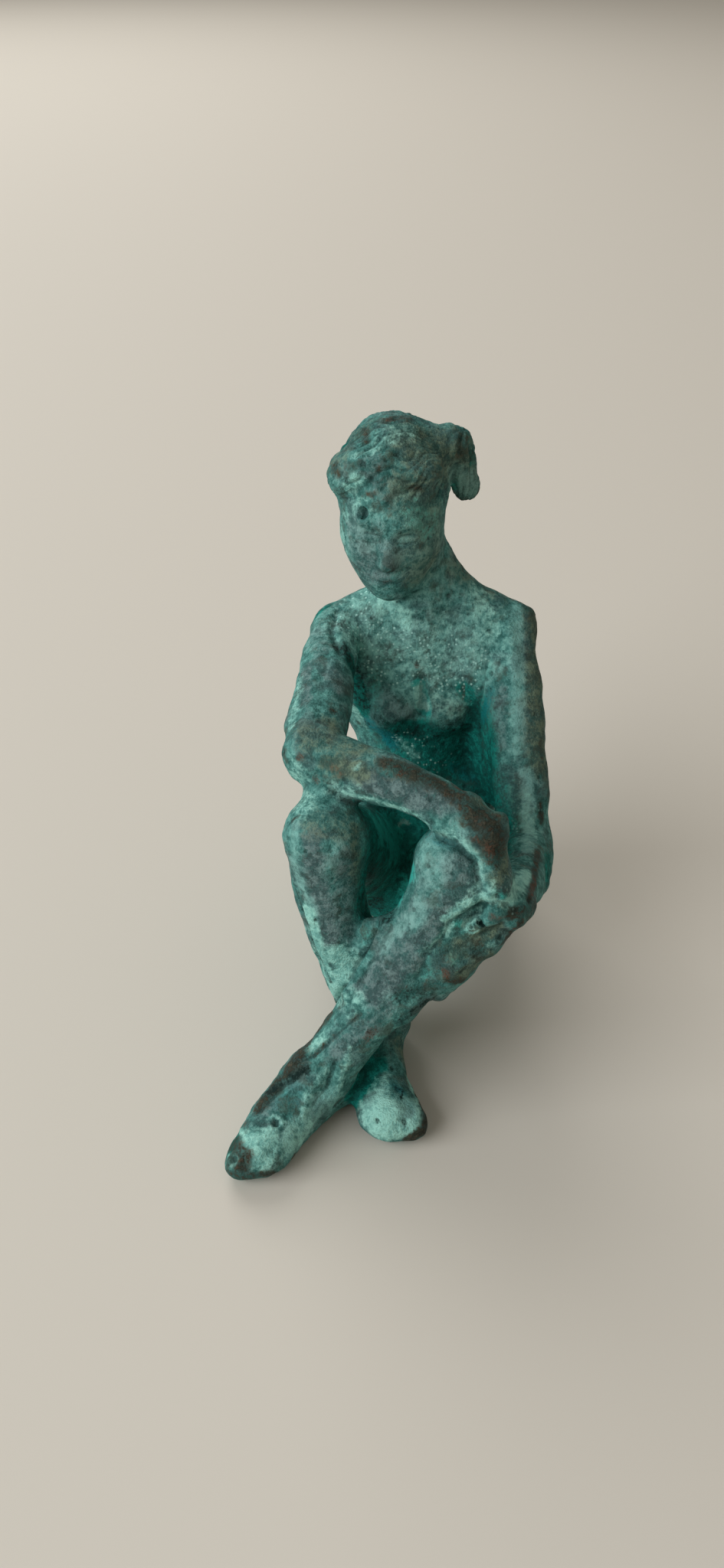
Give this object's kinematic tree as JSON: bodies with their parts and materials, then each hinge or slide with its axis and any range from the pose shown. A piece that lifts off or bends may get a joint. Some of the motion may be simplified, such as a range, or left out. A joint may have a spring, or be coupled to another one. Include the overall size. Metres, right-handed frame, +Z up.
{
  "type": "seated figure sculpture",
  "caption": "Small solid-cast figure of a woman seated on the ground, knees drawn up, ankles crossed, forearm laid over the knees, hair tied back.",
  "frame": {"origin": "on the ground, at the centre of the bounding box", "axes": "+Z up, the figure faces -Y, her left is +X"},
  "size_m": [0.0682, 0.106, 0.1216],
  "materials": {
    "bronze": "matte green patina with brown wear"
  },
  "bodies": {
    "root": {"seated_woman": "bronze"}
  },
  "joints": []
}
